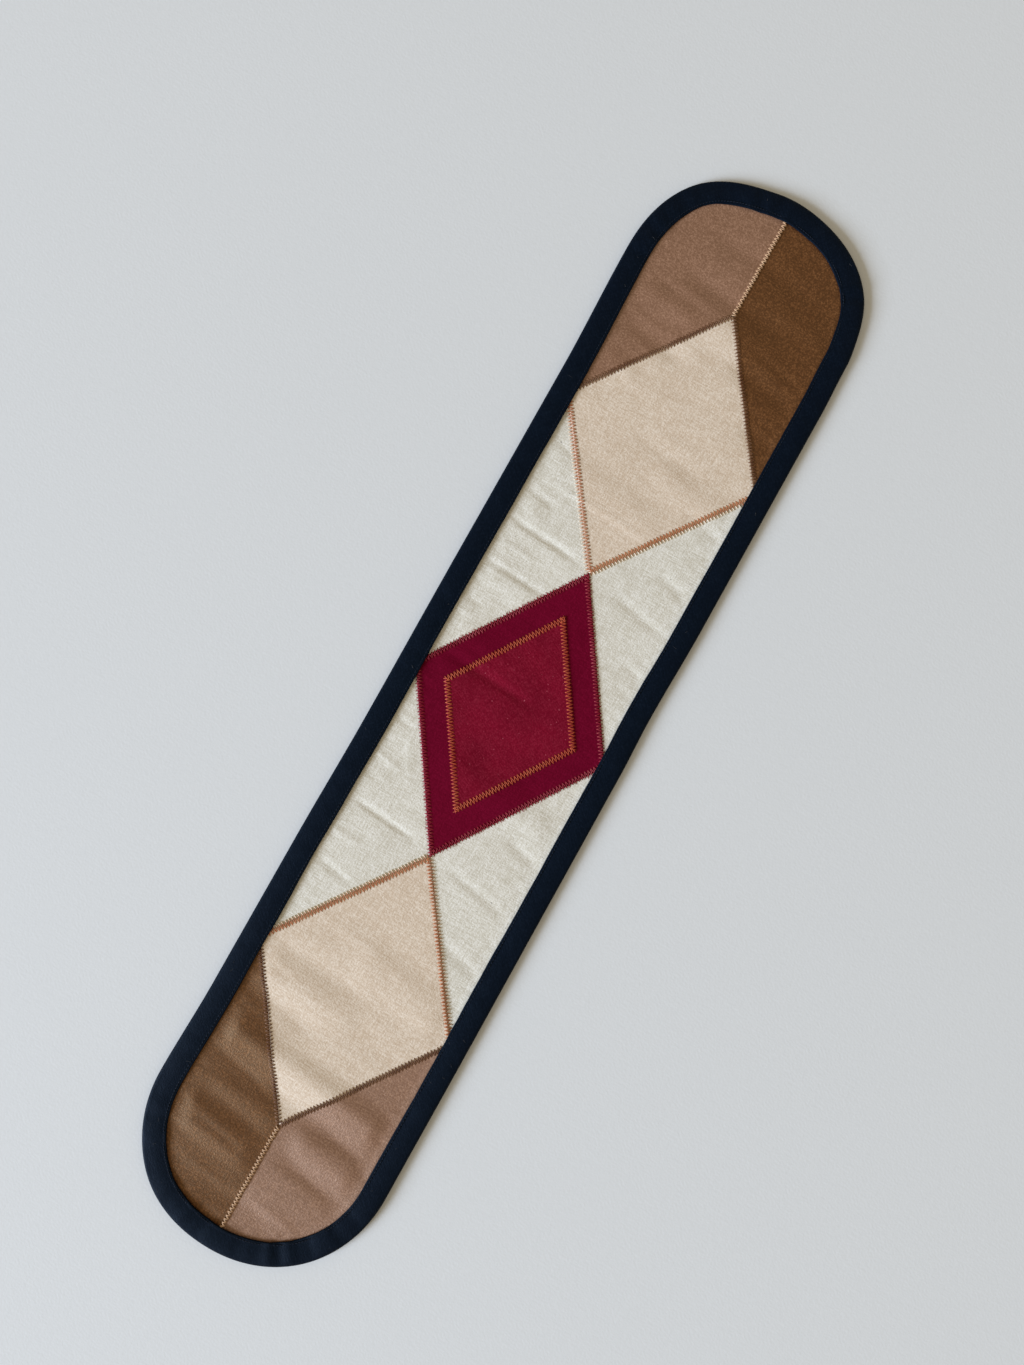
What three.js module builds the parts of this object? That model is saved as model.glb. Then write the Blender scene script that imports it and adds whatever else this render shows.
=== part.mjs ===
// A long, narrow wall quilt with round ends, lying flat with its face up.
// Millimetres. +Y runs along the strip, +X is its right edge, and +Z rises out of its face.
// The origin is under the middle of the strip, on the surface that the strip lies on.
import * as THREE from "three";

// The strip is a band about a straight spine, with a round end about each end of that spine.
const SPINE_END = 228;
const ROW_STEP = 6;
const END_TURN_STEP = 9;
const END_FIRST_TURN = 4.5;

// How far the bound edge stands from the spine. A hand-sewn edge wanders by a millimetre or two.
const RIGHT_EDGE = [
  { y: -228, reach: 60.8 },
  { y: -160, reach: 60.9 },
  { y: -60, reach: 60.7 },
  { y: 0, reach: 60.6 },
  { y: 30, reach: 59.9 },
  { y: 80, reach: 60.8 },
  { y: 200, reach: 60.8 },
  { y: 228, reach: 60.1 },
];
const LEFT_EDGE = [
  { y: -228, reach: 61.6 },
  { y: -180, reach: 60.5 },
  { y: -100, reach: 60.5 },
  { y: -40, reach: 59.9 },
  { y: 60, reach: 60.3 },
  { y: 160, reach: 60.4 },
  { y: 228, reach: 61.9 },
];
// Turn is in degrees from the spine's line, and is positive towards the right edge.
const UPPER_EDGE = [
  { turn: -90, reach: 61.9 },
  { turn: -50, reach: 64.1 },
  { turn: -10, reach: 59.4 },
  { turn: 10, reach: 59.2 },
  { turn: 55, reach: 61.4 },
  { turn: 80, reach: 59.8 },
  { turn: 90, reach: 60.1 },
];
const LOWER_EDGE = [
  { turn: -90, reach: 61.6 },
  { turn: -45, reach: 61.9 },
  { turn: 0, reach: 59.8 },
  { turn: 50, reach: 61.0 },
  { turn: 90, reach: 60.8 },
];

// Heights through the cloth, from the surface up.
const GAP = 0.3;
const LIP_THICKNESS = 0.9;
const PRESSED_THICKNESS = 1.1;
const PANEL_THICKNESS = 1.8;
const PATCH_THICKNESS = 0.5;

// The binding's section, with distances measured in from its outer fold.
const BINDING_WIDTH = 11.9;
const FOLD_THICKNESS = 1.2;
const FOLD_ROUND = 1.3;
const SHOULDER_IN = 0.4;
const SHOULDER_Z = 0.5;
const LIP_PUFF_IN = 5;
const LIP_PUFF = 0.25;
const BINDING_STEP = 24;

// The panel rises into the binding over this stretch, just inside the binding's sewn edge.
const RISE_WIDTH = 3;
const PANEL_COLUMNS = 8;

// Patches stop just short of the binding and of each other.
const PATCH_RIM_IN = BINDING_WIDTH + 0.4;
const PAST_EDGE = 70;
const RIM_CLOSENESS = 1e-6;
const SEAM_HALF_GAP = 0.2;
const TIP_TRIM = 0.5;
const PATCH_COLUMNS = 8;
const CORNER_COLUMNS = 5;

// The diamonds, by the place of their middle along the strip.
// The three large ones are cut wider than the open face, so the binding takes their side tips.
const CENTRE = { y: 0, halfLength: 78, halfWidth: 52 };
const INSET = { y: 0, halfLength: 54, halfWidth: 36 };
const UPPER = { y: 150, halfLength: 72, halfWidth: 52 };
const LOWER = { y: -150, halfLength: 72, halfWidth: 52 };

// Soft ripples that lift the cloth off the surface, each a low ridge across the strip.
const RIPPLE_SLANT = -0.12;
const RIPPLE_FADE = 12;
const RIM_FADE = 8;
const RIPPLES = [
  { y: -240, from: -60, to: 2, rise: 0.9, spread: 12 },
  { y: -222, from: 4, to: 60, rise: 0.8, spread: 12 },
  { y: -198, from: -60, to: 60, rise: 1.1, spread: 13 },
  { y: -164, from: -60, to: 12, rise: 0.7, spread: 14 },
  { y: -138, from: -10, to: 60, rise: 0.6, spread: 14 },
  { y: -36, from: -24, to: 60, rise: 0.6, spread: 12 },
  { y: 0, from: -60, to: 8, rise: 0.4, spread: 12 },
  { y: 19, from: -60, to: 10, rise: 0.4, spread: 12 },
  { y: 52, from: -60, to: -12, rise: 0.5, spread: 12 },
  { y: 88, from: -60, to: -28, rise: 0.5, spread: 12 },
  { y: 113, from: -60, to: 25, rise: 0.5, spread: 12 },
  { y: 136, from: 0, to: 60, rise: 0.4, spread: 12 },
  { y: 214, from: -34, to: 38, rise: 0.6, spread: 14 },
];

const NAVY = new THREE.MeshStandardMaterial({ color: 0x10161f, roughness: 0.85 });
const IVORY = new THREE.MeshStandardMaterial({ color: 0xd2cfc3, roughness: 0.8 });
const CREAM = new THREE.MeshStandardMaterial({ color: 0xcebfad, roughness: 0.8 });
const DARK_CRIMSON = new THREE.MeshStandardMaterial({ color: 0x650824, roughness: 0.9 });
const CRIMSON = new THREE.MeshStandardMaterial({ color: 0x740e24, roughness: 0.9 });
const MAUVE = new THREE.MeshStandardMaterial({ color: 0x8d6d58, roughness: 0.6 });
const BROWN = new THREE.MeshStandardMaterial({ color: 0x65422d, roughness: 0.6 });

const radians = THREE.MathUtils.degToRad;
const degrees = THREE.MathUtils.radToDeg;

// A smooth curve through a table's rows, level at each row.
function readTable(table, column, at) {
  const next = Math.max(1, table.findIndex((row) => row[column] >= at));
  const before = table[next - 1];
  const after = table[next];
  const share = THREE.MathUtils.smoothstep(at, before[column], after[column]);
  return THREE.MathUtils.lerp(before.reach, after.reach, share);
}

// A spoke runs from a root on the spine straight out to the bound edge.
function sideSpoke(side, y) {
  const edge = side > 0 ? RIGHT_EDGE : LEFT_EDGE;
  return { rootY: y, outX: side, outY: 0, reach: readTable(edge, "y", y) };
}

function endSpoke(end, turn) {
  const edge = end > 0 ? UPPER_EDGE : LOWER_EDGE;
  return {
    rootY: end * SPINE_END,
    outX: Math.sin(radians(turn)),
    outY: end * Math.cos(radians(turn)),
    reach: readTable(edge, "turn", turn),
  };
}

function pointOnSpoke(spoke, inset) {
  const out = spoke.reach - inset;
  return [out * spoke.outX, spoke.rootY + out * spoke.outY];
}

// How far a point lies in from the bound edge.
function insetAt(x, y) {
  const past = Math.abs(y) - SPINE_END;
  if (past <= 0) return sideSpoke(x < 0 ? -1 : 1, y).reach - Math.abs(x);
  const turn = degrees(Math.atan2(x, past));
  return endSpoke(Math.sign(y), turn).reach - Math.hypot(x, past);
}

// Every spoke up one side of the strip, from its lower tip to its upper tip.
function spokesUp(side, step) {
  const spokes = [];
  for (let turn = END_FIRST_TURN; turn < 90; turn += END_TURN_STEP) {
    spokes.push(endSpoke(-1, side * turn));
  }
  for (let y = -SPINE_END; y <= SPINE_END; y += step) {
    spokes.push(sideSpoke(side, y));
  }
  for (let turn = 90 - END_FIRST_TURN; turn > 0; turn -= END_TURN_STEP) {
    spokes.push(endSpoke(1, side * turn));
  }
  return spokes;
}

// The lift of the cloth at a point: ridges that fade at their ends and near the binding.
function rippleAt(x, y) {
  const rim = THREE.MathUtils.smoothstep(
    insetAt(x, y) - BINDING_WIDTH - RISE_WIDTH,
    0,
    RIM_FADE,
  );
  let lift = 0;
  for (const ridge of RIPPLES) {
    const along = (y - ridge.y - RIPPLE_SLANT * x) / ridge.spread;
    if (Math.abs(along) >= 1) continue;
    const enter = THREE.MathUtils.smoothstep(x, ridge.from, ridge.from + RIPPLE_FADE);
    const leave = 1 - THREE.MathUtils.smoothstep(x, ridge.to - RIPPLE_FADE, ridge.to);
    lift += ridge.rise * enter * leave * Math.cos((along * Math.PI) / 2) ** 2;
  }
  return lift * rim;
}

// 0 on the open face, 1 inside the binding, with a straight slope between.
function grippedAt(x, y) {
  const foot = BINDING_WIDTH + RISE_WIDTH;
  return THREE.MathUtils.clamp((foot - insetAt(x, y)) / RISE_WIDTH, 0, 1);
}

function panelLow(x, y) {
  return (LIP_THICKNESS + GAP) * grippedAt(x, y) + rippleAt(x, y);
}

function panelHigh(x, y) {
  const thickness = THREE.MathUtils.lerp(
    PANEL_THICKNESS,
    PRESSED_THICKNESS,
    grippedAt(x, y),
  );
  return panelLow(x, y) + thickness;
}

// A closed solid over a flat plan: points, triangles seen from above, and the rim in order.
function clothSolid(plan, lowZ, highZ) {
  const count = plan.points.length;
  const positions = [];
  for (const [x, y] of plan.points) positions.push(x, y, lowZ(x, y));
  for (const [x, y] of plan.points) positions.push(x, y, highZ(x, y));
  const index = [];
  for (const [a, b, c] of plan.triangles) {
    index.push(a, c, b);
    index.push(a + count, b + count, c + count);
  }
  plan.rim.forEach((a, place) => {
    const b = plan.rim[(place + 1) % plan.rim.length];
    index.push(a, b, b + count);
    index.push(a, b + count, a + count);
  });
  const geometry = new THREE.BufferGeometry();
  geometry.setAttribute("position", new THREE.Float32BufferAttribute(positions, 3));
  geometry.setIndex(index);
  geometry.computeVertexNormals();
  return geometry;
}

// Rows of one length, from the lowest y up, each from left to right.
function joinRows(rows, first, triangles) {
  const width = rows[0].length;
  for (let row = 0; row + 1 < rows.length; row += 1) {
    for (let column = 0; column + 1 < width; column += 1) {
      const a = first + row * width + column;
      const b = a + 1;
      const c = a + width;
      triangles.push([a, b, c + 1], [a, c + 1, c]);
    }
  }
}

function rowBetween([leftX, leftY], [rightX, rightY], columns) {
  const row = [];
  for (let column = 0; column <= columns; column += 1) {
    const share = column / columns;
    row.push([
      THREE.MathUtils.lerp(leftX, rightX, share),
      THREE.MathUtils.lerp(leftY, rightY, share),
    ]);
  }
  return row;
}

// The panel's plan: rows across the open face, with bands round them that reach into the binding.
function panelPlan() {
  const left = spokesUp(-1, ROW_STEP);
  const right = spokesUp(1, ROW_STEP);
  const bands = [BINDING_WIDTH + RISE_WIDTH, BINDING_WIDTH, FOLD_THICKNESS + GAP];
  const rows = left.map((spoke, place) =>
    rowBetween(
      pointOnSpoke(spoke, bands[0]),
      pointOnSpoke(right[place], bands[0]),
      PANEL_COLUMNS,
    ),
  );
  const points = rows.flat();
  const triangles = [];
  joinRows(rows, 0, triangles);

  const width = PANEL_COLUMNS + 1;
  const last = (rows.length - 1) * width;
  const round = [...right, ...[...left].reverse()];
  const rings = bands.slice(1).map((inset) => {
    const start = points.length;
    round.forEach((spoke) => points.push(pointOnSpoke(spoke, inset)));
    return round.map((spoke, place) => start + place);
  });
  const inner = [
    ...rows.map((row, place) => place * width + PANEL_COLUMNS),
    ...rows.map((row, place) => last - place * width),
  ];
  const joinBand = (near, far, place, next) => {
    triangles.push([near[place], far[place], far[next]]);
    triangles.push([near[place], far[next], near[next]]);
  };
  const half = rows.length;
  for (let place = 0; place < round.length; place += 1) {
    const next = (place + 1) % round.length;
    joinBand(rings[0], rings[1], place, next);
    const overTip = place === half - 1 || place === round.length - 1;
    if (!overTip) joinBand(inner, rings[0], place, next);
  }
  // Over each tip the last row meets the band as a fan.
  for (let column = 0; column < PANEL_COLUMNS; column += 1) {
    triangles.push([rings[0][half], last + column, last + column + 1]);
    triangles.push([rings[0][0], column + 1, column]);
  }
  triangles.push([rings[0][half], last + PANEL_COLUMNS, rings[0][half - 1]]);
  triangles.push([rings[0][0], 0, rings[0][round.length - 1]]);
  return { points, triangles, rim: rings[1] };
}

// The distance from the spine to the patches' rim, straight across at one y, by halving.
function rimAcross(side, y) {
  let low = 0;
  let high = PAST_EDGE;
  while (high - low > RIM_CLOSENESS) {
    const middle = (low + high) / 2;
    if (insetAt(side * middle, y) > PATCH_RIM_IN) low = middle;
    else high = middle;
  }
  return low;
}

// A patch's plan from its rows: each has a y and its left and right ends.
function patchPlan(spans, columns) {
  const rows = spans.map(({ y, left, right }) => rowBetween([left, y], [right, y], columns));
  const triangles = [];
  joinRows(rows, 0, triangles);
  const width = columns + 1;
  const last = (rows.length - 1) * width;
  const rim = [];
  for (let column = 0; column < columns; column += 1) rim.push(column);
  for (let row = 0; row < rows.length - 1; row += 1) rim.push(row * width + columns);
  for (let column = columns; column > 0; column -= 1) rim.push(last + column);
  for (let row = rows.length - 1; row > 0; row -= 1) rim.push(row * width);
  return { points: rows.flat(), triangles, rim };
}

// Cloth laid on the panel. Level 0 lies on the ground cloth, and level 1 on a patch there.
function patchSolid(spans, columns, level) {
  const lift = GAP + level * (PATCH_THICKNESS + GAP);
  return clothSolid(
    patchPlan(spans, columns),
    (x, y) => panelHigh(x, y) + lift,
    (x, y) => panelHigh(x, y) + lift + PATCH_THICKNESS,
  );
}

function halfWidthAt(diamond, y) {
  return diamond.halfWidth * (1 - Math.abs(y - diamond.y) / diamond.halfLength);
}

// A diamond's rows, cut off at the sides where it would run under the binding.
function diamondSpans(diamond) {
  const lowTip = diamond.y - diamond.halfLength;
  const highTip = diamond.y + diamond.halfLength;
  const ys = [lowTip + TIP_TRIM];
  for (let y = lowTip + ROW_STEP; y < highTip; y += ROW_STEP) ys.push(y);
  ys.push(highTip - TIP_TRIM);
  return ys.map((y) => {
    const half = halfWidthAt(diamond, y) - SEAM_HALF_GAP;
    const left = -Math.min(half, rimAcross(-1, y));
    const right = Math.min(half, rimAcross(1, y));
    return { y, left, right };
  });
}

// A corner patch's rows: between an outer diamond's far edge and the binding, then to the tip.
function cornerSpans(side, end) {
  const ys = [];
  for (let y = UPPER.y + ROW_STEP; y <= SPINE_END; y += ROW_STEP) ys.push(y);
  const tipReach = endSpoke(end, 0).reach - PATCH_RIM_IN;
  for (let turn = 90 - END_TURN_STEP; turn > 0; turn -= END_TURN_STEP) {
    ys.push(SPINE_END + tipReach * Math.cos(radians(turn)));
  }
  const spans = ys.map((y) => {
    const near = side * (Math.max(0, halfWidthAt(UPPER, y)) + SEAM_HALF_GAP);
    const far = side * rimAcross(side, end * y);
    return { y: end * y, left: Math.min(near, far), right: Math.max(near, far) };
  });
  return end > 0 ? spans : spans.reverse();
}

// The folded binding: one closed section, carried round every spoke of the edge.
function bindingSection() {
  const height = 2 * (LIP_THICKNESS + GAP) + PRESSED_THICKNESS;
  const slotLow = LIP_THICKNESS;
  const slotHigh = height - LIP_THICKNESS;
  return [
    { inset: BINDING_WIDTH, z: 0 },
    { inset: FOLD_ROUND, z: 0 },
    { inset: SHOULDER_IN, z: SHOULDER_Z },
    { inset: 0, z: height / 2 },
    { inset: SHOULDER_IN, z: height - SHOULDER_Z },
    { inset: FOLD_ROUND, z: height },
    { inset: LIP_PUFF_IN, z: height + LIP_PUFF },
    { inset: BINDING_WIDTH, z: height },
    { inset: BINDING_WIDTH, z: slotHigh },
    { inset: FOLD_THICKNESS, z: slotHigh },
    { inset: FOLD_THICKNESS, z: slotLow },
    { inset: BINDING_WIDTH, z: slotLow },
  ];
}

function bindingSolid() {
  const section = bindingSection();
  const round = [...spokesUp(1, BINDING_STEP), ...spokesUp(-1, BINDING_STEP).reverse()];
  const positions = [];
  for (const spoke of round) {
    for (const { inset, z } of section) positions.push(...pointOnSpoke(spoke, inset), z);
  }
  const index = [];
  const size = section.length;
  for (let place = 0; place < round.length; place += 1) {
    const next = (place + 1) % round.length;
    for (let corner = 0; corner < size; corner += 1) {
      const a = place * size + corner;
      const b = place * size + ((corner + 1) % size);
      const c = next * size + corner;
      const d = next * size + ((corner + 1) % size);
      index.push(a, c, d, a, d, b);
    }
  }
  const geometry = new THREE.BufferGeometry();
  geometry.setAttribute("position", new THREE.Float32BufferAttribute(positions, 3));
  geometry.setIndex(index);
  geometry.computeVertexNormals();
  return geometry;
}

const quilt = new THREE.Group();

function addPiece(name, geometry, material) {
  const mesh = new THREE.Mesh(geometry, material);
  mesh.name = name;
  quilt.add(mesh);
}

addPiece("panel", clothSolid(panelPlan(), panelLow, panelHigh), IVORY);
addPiece("binding", bindingSolid(), NAVY);

function addDiamond(name, diamond, level, cloth) {
  addPiece(name, patchSolid(diamondSpans(diamond), PATCH_COLUMNS, level), cloth);
}

function addCorner(name, side, end, cloth) {
  addPiece(name, patchSolid(cornerSpans(side, end), CORNER_COLUMNS, 0), cloth);
}

addDiamond("centre_diamond", CENTRE, 0, DARK_CRIMSON);
addDiamond("centre_inset", INSET, 1, CRIMSON);
addDiamond("upper_diamond", UPPER, 0, CREAM);
addDiamond("lower_diamond", LOWER, 0, CREAM);
addCorner("upper_left_corner", -1, 1, MAUVE);
addCorner("upper_right_corner", 1, 1, BROWN);
addCorner("lower_left_corner", -1, -1, BROWN);
addCorner("lower_right_corner", 1, -1, MAUVE);

// The spine's middle is moved so that the strip's own box is centred over the origin.
const middle = new THREE.Box3().setFromObject(quilt).getCenter(new THREE.Vector3());
quilt.position.set(-middle.x, -middle.y, 0);

export default quilt;
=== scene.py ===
import math
import bpy
import numpy as np
from mathutils import Matrix, Vector


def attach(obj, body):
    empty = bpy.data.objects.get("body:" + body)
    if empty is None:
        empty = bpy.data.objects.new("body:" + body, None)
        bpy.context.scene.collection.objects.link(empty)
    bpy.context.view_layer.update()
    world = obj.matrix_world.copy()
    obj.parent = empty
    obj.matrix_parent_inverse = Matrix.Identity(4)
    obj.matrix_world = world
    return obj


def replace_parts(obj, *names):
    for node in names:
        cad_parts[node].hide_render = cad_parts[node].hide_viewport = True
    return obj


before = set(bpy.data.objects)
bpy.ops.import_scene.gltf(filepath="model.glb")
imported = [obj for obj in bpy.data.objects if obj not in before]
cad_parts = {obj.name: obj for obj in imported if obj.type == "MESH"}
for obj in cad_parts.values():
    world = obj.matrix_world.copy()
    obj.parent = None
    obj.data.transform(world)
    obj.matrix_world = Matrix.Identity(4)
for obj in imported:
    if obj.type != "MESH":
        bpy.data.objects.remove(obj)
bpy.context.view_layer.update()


# Ground cloth
# The quilted strip: ivory cotton over thin wadding, with round ends, sewn through and pressed.
# It lies loose, so the cloth lifts in low ripples across the strip and keeps a few pressed creases.
MM = 0.001
SPINE_MIDDLE = (0.5, 0.247)
SPINE_END = 228.0
EDGES = {
    "right": [(-228, 60.8), (-160, 60.9), (-60, 60.7), (0, 60.6), (30, 59.9), (80, 60.8), (200, 60.8),
              (228, 60.1)],
    "left": [(-228, 61.6), (-180, 60.5), (-100, 60.5), (-40, 59.9), (60, 60.3), (160, 60.4), (228, 61.9)],
    "upper": [(-90, 61.9), (-50, 64.1), (-10, 59.4), (10, 59.2), (55, 61.4), (80, 59.8), (90, 60.1)],
    "lower": [(-90, 61.6), (-45, 61.9), (0, 59.8), (50, 61.0), (90, 60.8)],
}
BINDING_WIDTH = 11.9
RISE_WIDTH = 3.0
PANEL_THICKNESS = 1.8
PRESSED_LOW = 1.2
PRESSED_TOP = 2.0
RIPPLE_SLANT = -0.12
RIPPLE_FADE = 12.0
RIM_FADE = 8.0
# Each ripple: its place along the strip, where it starts and ends across it, its rise and half width.
RIPPLES = [
    (-240, -60, 2, 0.9, 12), (-222, 4, 60, 0.8, 12), (-198, -60, 60, 1.1, 13), (-164, -60, 12, 0.7, 14),
    (-138, -10, 60, 0.6, 14), (-36, -24, 60, 0.6, 12), (0, -60, 8, 0.4, 12), (19, -60, 10, 0.4, 12),
    (52, -60, -12, 0.5, 12), (88, -60, -28, 0.5, 12), (113, -60, 25, 0.5, 12), (136, 0, 60, 0.4, 12),
    (214, -34, 38, 0.6, 14),
]
# Each crease: its two ends, its rise (below 0 for a trough) and its half width.
CREASES = [
    ((-50, 128), (-34, 124), -0.32, 1.7), ((-50, 108.5), (24, 105.5), 0.28, 1.4),
    ((-50, 101), (-26, 97), -0.37, 2.0), ((-50, 84), (-2, 80), -0.60, 1.4),
    ((-50, 72), (-20, 70), 0.25, 1.5), ((-50, 60.5), (-8, 57.5), -0.46, 1.7),
    ((-50, 41), (-36, 38), -0.30, 1.4), ((-50, 33), (-38, 32), 0.23, 1.4),
    ((-50, 11.5), (14, 8), -0.53, 1.4), ((-50, 16), (6, 13), 0.23, 1.4), ((-2, 34), (14, 52), 0.21, 2.0),
    ((28, 33), (35, 53), -0.18, 1.8), ((24, 128), (50, 122), -0.39, 3.0), ((26, 94), (50, 90), -0.41, 2.7),
    ((14, 76), (50, 67), -0.41, 2.2), ((34, 48), (50, 44), -0.30, 1.8), ((-37, -31), (-25, -55), 0.25, 1.4),
    ((-50, -4), (-38, -9), -0.25, 1.4), ((-50, -27), (-36, -29), -0.32, 1.4),
    ((-50, -46), (-28, -50), 0.30, 1.8), ((-50, -71), (-6, -75), -0.55, 1.4),
    ((-50, -88), (-30, -90), 0.28, 1.7), ((-50, -104), (-24, -108), -0.41, 2.0),
    ((26, -52), (50, -58), -0.39, 2.2), ((8, -78), (50, -86), -0.44, 2.4),
    ((24, -112), (50, -116), -0.41, 3.0), ((-6, 170), (-12, 0), -0.06, 0.9),
    ((-56, -208), (56, -218), -0.80, 6.0), ((-56, -190), (56, -202), 0.40, 4.5),
    ((-56, -172), (0, -178), -0.60, 5.5), ((-50, -240), (4, -248), 0.40, 5.0),
    ((0, -233), (52, -241), -0.70, 5.5), ((-50, -224), (0, -232), -0.60, 5.5),
    ((-28, -262), (26, -265), -0.45, 5.0), ((-54, -148), (8, -153), -0.40, 6.0),
    ((-40, 232), (30, 225), -0.85, 5.0), ((-50, 197), (-6, 190), -0.78, 5.0),
    ((6, 203), (52, 194), -0.88, 5.0), ((-32, 254), (28, 250), -0.64, 4.6),
    ((12, 237), (50, 230), 0.55, 4.2), ((-50, 215), (-10, 209), 0.55, 4.2),
    ((-50, 178), (-24, 172), 0.35, 4.5), ((26, 178), (54, 172), -0.60, 4.6),
    ((-20, 150), (34, 143), -0.30, 5.0), ((-26, -128), (30, -134), 0.25, 5.0),
    ((-50, -204), (-12, -211), -0.26, 1.9), ((-45, -236), (-5, -242), -0.28, 1.8),
    ((-30, -256), (-6, -259), 0.18, 1.7), ((8, -235), (47, -243), -0.30, 1.9),
    ((17, -214), (50, -221), -0.24, 1.8), ((5, -258), (34, -262), 0.20, 1.8),
    ((-47, 222), (-7, 216), -0.34, 1.9), ((9, 214), (51, 205), -0.36, 1.9),
    ((-30, 243), (3, 240), 0.20, 1.8), ((13, 251), (40, 245), -0.24, 1.7),
    ((-44, -158), (-26, -161), -0.20, 1.7), ((24, 186), (52, 180), -0.22, 1.8),
    ((-50, 205), (-22, 201), -0.20, 1.6),
]
PUCKER_RISE = 0.07
PUCKER_REACH = 4.5


def smooth(share):
    share = np.clip(share, 0.0, 1.0)
    return share * share * (3 - 2 * share)


def reach_of(edge, station):
    """The bound edge's distance from the spine, on a smooth curve through the edge's rows."""
    rows = np.array(EDGES[edge], float)
    after = np.clip(np.searchsorted(rows[:, 0], station), 1, len(rows) - 1)
    low, high = rows[after - 1], rows[after]
    share = smooth((station - low[..., 0]) / (high[..., 0] - low[..., 0]))
    return low[..., 1] + (high[..., 1] - low[..., 1]) * share


def inset_at(x, y):
    """How far points lie in from the bound edge, in millimetres."""
    past = np.abs(y) - SPINE_END
    side = np.where(x < 0, reach_of("left", y), reach_of("right", y)) - np.abs(x)
    turn = np.degrees(np.arctan2(x, np.maximum(past, 1e-9)))
    end = np.where(y > 0, reach_of("upper", turn), reach_of("lower", turn)) - np.hypot(x, past)
    return np.where(past <= 0, side, end)


def edge_across(side, y, inset):
    """How far each row runs from the spine to a line that keeps that inset, found by halving."""
    low, high = np.zeros_like(y), np.full_like(y, 70.0)
    for _ in range(30):
        middle = (low + high) / 2
        inside = inset_at(side * middle, y) > inset
        low, high = np.where(inside, middle, low), np.where(inside, high, middle)
    return low


def gripped_at(x, y):
    """0 on the open face, 1 where the binding grips the cloth."""
    return np.clip((BINDING_WIDTH + RISE_WIDTH - inset_at(x, y)) / RISE_WIDTH, 0, 1)


def lift_at(x, y):
    """How far the cloth's ripples lift it off the surface it lies on, in millimetres."""
    lift = np.zeros_like(x)
    for at, start, stop, rise, spread in RIPPLES:
        along = np.clip((y - at - RIPPLE_SLANT * x) / spread, -1, 1)
        across = smooth((x - start) / RIPPLE_FADE) * smooth((stop - x) / RIPPLE_FADE)
        lift += rise * across * np.cos(along * math.pi / 2) ** 2
    lift *= smooth((inset_at(x, y) - BINDING_WIDTH - RISE_WIDTH) / RIM_FADE)
    return np.maximum(lift, 0)


def crease_at(x, y):
    """Creases pressed into the face, and puckers along the binding, in millimetres."""
    dent = np.zeros_like(x)
    for start, stop, rise, width in CREASES:
        run = np.subtract(stop, start)
        long = math.hypot(*run)
        run = run / long
        along = (x - start[0]) * run[0] + (y - start[1]) * run[1]
        off = (x - start[0]) * run[1] - (y - start[1]) * run[0]
        bow = 0.03 * (along / long - 0.5) ** 2 * long
        ends = smooth(along / (0.3 * long)) * smooth((long - along) / (0.3 * long))
        dent += rise * ends * np.exp(-(((off - bow) / width) ** 2))
    inset = inset_at(x, y)
    wave = np.sin(0.71 * y + 0.4 * x) + np.sin(0.43 * y - 0.2 * x + 2) + np.sin(1.07 * y + 0.3 * x + 4)
    pucker = PUCKER_RISE * wave * np.exp(-np.maximum(inset - BINDING_WIDTH, 0) / PUCKER_REACH)
    return (dent + pucker) * smooth((inset - BINDING_WIDTH) / RISE_WIDTH)


def ground_low(x, y):
    return PRESSED_LOW * gripped_at(x, y) + lift_at(x, y)


def ground_top(x, y):
    grip = gripped_at(x, y)
    return PANEL_THICKNESS + (PRESSED_TOP - PANEL_THICKNESS) * grip + lift_at(x, y) + crease_at(x, y)


def new_piece(name, points, faces, finish):
    """A smooth mesh piece from points in millimetres about the spine's middle."""
    placed = np.array(points, float)
    placed[:, 0] += SPINE_MIDDLE[0]
    placed[:, 1] += SPINE_MIDDLE[1]
    mesh = bpy.data.meshes.new(name)
    mesh.from_pydata((placed * MM).tolist(), [], [list(map(int, face)) for face in faces])
    mesh.polygons.foreach_set("use_smooth", [True] * len(mesh.polygons))
    mesh.materials.append(finish.material)
    mesh.validate()
    piece = bpy.data.objects.new(name, mesh)
    bpy.context.scene.collection.objects.link(piece)
    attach(piece, "root")
    return piece


def grid_faces(rows, columns, first=0, flip=False):
    """The quads of a grid of points, row by row."""
    corner = (np.arange(rows - 1)[:, None] * columns + np.arange(columns - 1)).ravel() + first
    quads = np.stack([corner, corner + 1, corner + columns + 1, corner + columns], 1)
    return quads[:, ::-1] if flip else quads


def cloth_sheet(name, y, left, right, columns, low_z, top_z, finish):
    """A closed sheet over rows that each run from left to right, with its points closer at its edges."""
    share = 0.5 - 0.5 * np.cos(np.linspace(0, math.pi, columns))
    share = 0.35 * share + 0.65 * np.linspace(0, 1, columns)
    x = left[:, None] + (right - left)[:, None] * share
    across = np.repeat(y[:, None], columns, 1)
    count = x.size
    rows = len(y)
    points = np.concatenate([
        np.stack([x.ravel(), across.ravel(), top_z(x, across).ravel()], 1),
        np.stack([x.ravel(), across.ravel(), low_z(x, across).ravel()], 1),
    ])
    last = (rows - 1) * columns
    rim = np.concatenate([
        np.arange(columns - 1), np.arange(rows - 1) * columns + columns - 1,
        last + np.arange(columns - 1, 0, -1), np.arange(rows - 1, 0, -1) * columns,
    ])
    following = np.roll(rim, -1)
    wall = np.stack([rim + count, following + count, following, rim], 1)
    faces = np.concatenate([grid_faces(rows, columns), grid_faces(rows, columns, count, True), wall])
    area = float(np.sum(((right - left)[1:] + (right - left)[:-1]) / 2 * np.diff(y)))
    return new_piece(name, points, faces, finish), area * MM * MM


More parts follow.
